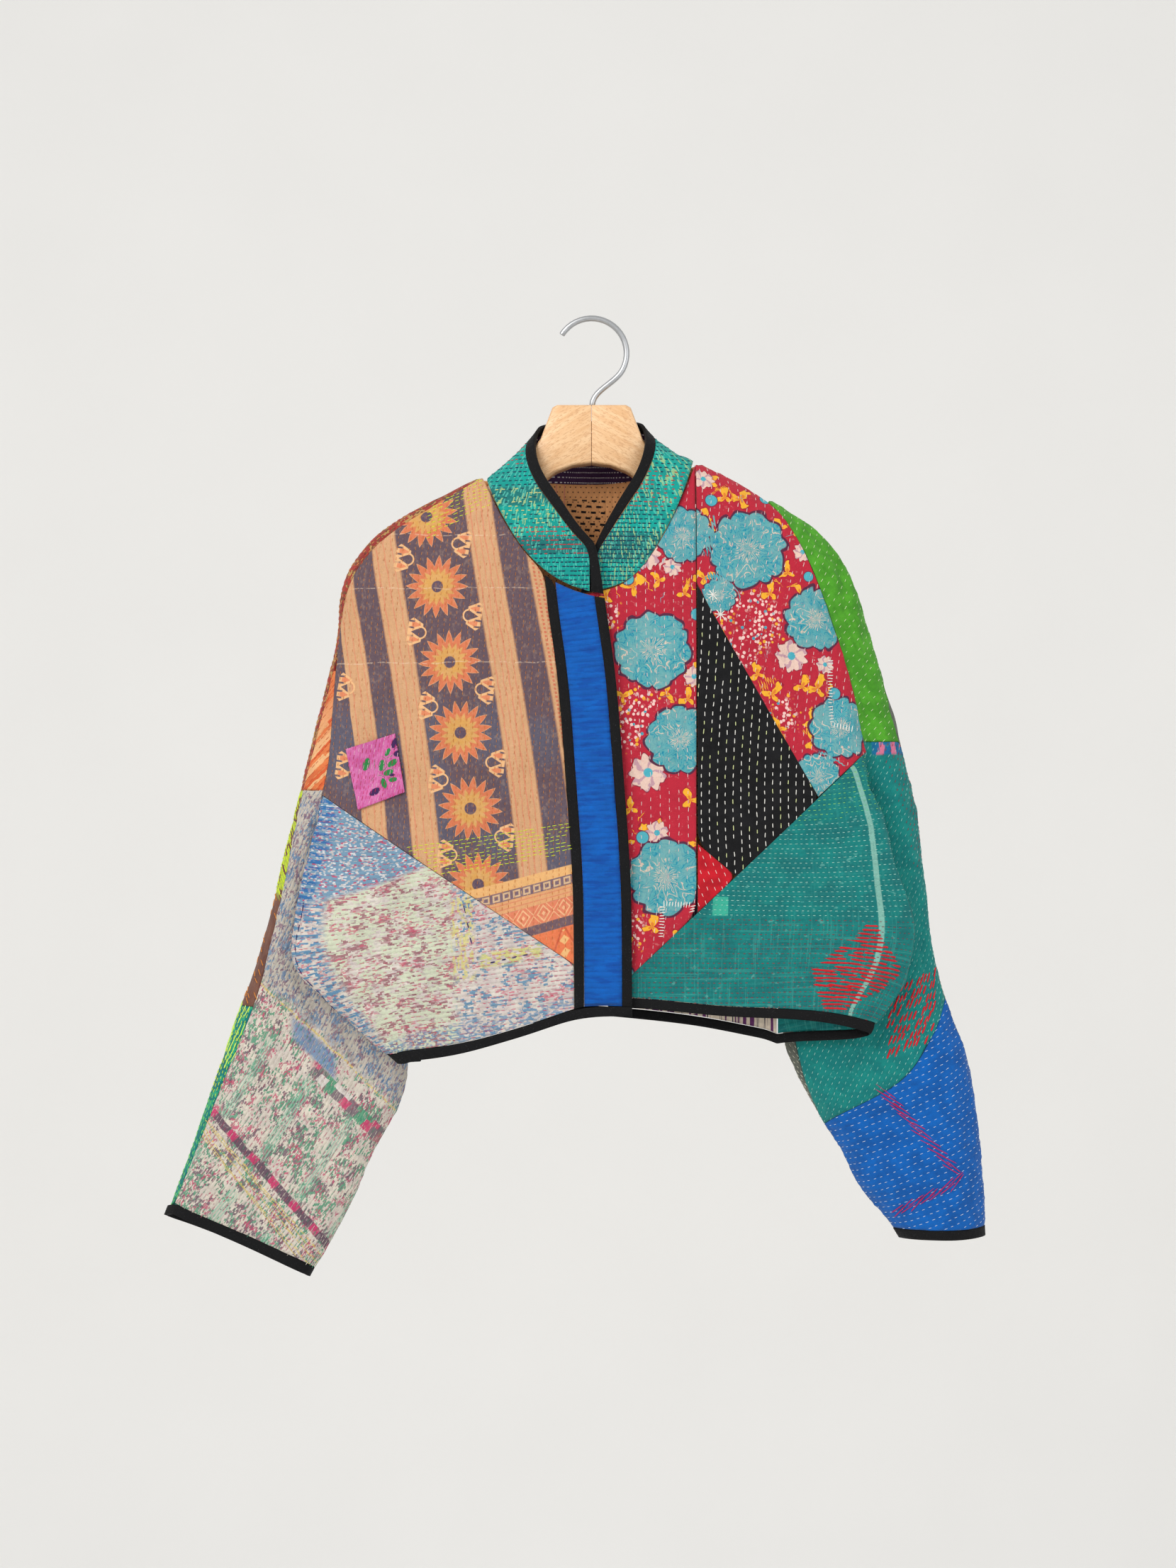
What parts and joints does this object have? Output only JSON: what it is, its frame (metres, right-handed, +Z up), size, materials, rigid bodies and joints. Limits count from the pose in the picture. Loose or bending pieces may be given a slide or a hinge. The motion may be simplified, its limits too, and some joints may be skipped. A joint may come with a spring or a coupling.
{
  "type": "kantha jacket on a wooden hanger",
  "caption": "Short boxy patchwork jacket with wide sleeves, stand collar and lapped placket, hanging open-necked on a wooden coat hanger with a wire hook.",
  "frame": {"origin": "inside top of the hook's bend, where a peg or rail carries the hanger", "axes": "+X towards the wearer's left, +Y towards the back of the jacket, +Z up"},
  "size_m": [0.7035, 0.1037, 0.8174],
  "materials": {
    "tan_cotton": "washed cotton, hand stitched",
    "collar_cotton": "washed cotton strips, hand stitched",
    "binding_cotton": "plain black cotton",
    "red_cotton": "printed floral cotton",
    "black_cotton": "black cotton with running stitches",
    "teal_cotton": "washed cotton with running stitches",
    "pink_cotton": "printed cotton patch",
    "pale_cotton": "washed cotton, mottled",
    "sun_cotton": "printed cotton in bands",
    "blue_cotton": "fine wrinkled cotton",
    "green_cotton": "washed cotton with running stitches",
    "rust_cotton": "washed cotton with running stitches",
    "brown_cotton": "washed cotton with running stitches",
    "olive_cotton": "washed cotton with running stitches",
    "beech": "clear satin varnish",
    "satin_steel": "satin wire"
  },
  "bodies": {
    "root": {"back": "tan_cotton", "collar": "collar_cotton", "collar_binding": "binding_cotton", "cuff_binding_left": "binding_cotton", "cuff_binding_right": "binding_cotton", "front_edge_binding": "binding_cotton", "front_left_gore": "red_cotton", "front_left_inner": "red_cotton", "front_left_inset": "black_cotton", "front_left_lower": "teal_cotton", "front_left_outer": "red_cotton", "front_patch": "pink_cotton", "front_right_lower": "pale_cotton", "front_right_upper": "sun_cotton", "hanger_left": "beech", "hanger_right": "beech", "hem_binding": "binding_cotton", "hook": "satin_steel", "placket": "blue_cotton", "placket_binding": "binding_cotton", "sleeve_left_back": "olive_cotton", "sleeve_left_cap": "green_cotton", "sleeve_left_lower": "blue_cotton", "sleeve_left_upper": "teal_cotton", "sleeve_right_back_lower": "teal_cotton", "sleeve_right_back_middle": "brown_cotton", "sleeve_right_back_upper": "rust_cotton", "sleeve_right_cap": "rust_cotton", "sleeve_right_front": "pale_cotton"}
  },
  "joints": []
}
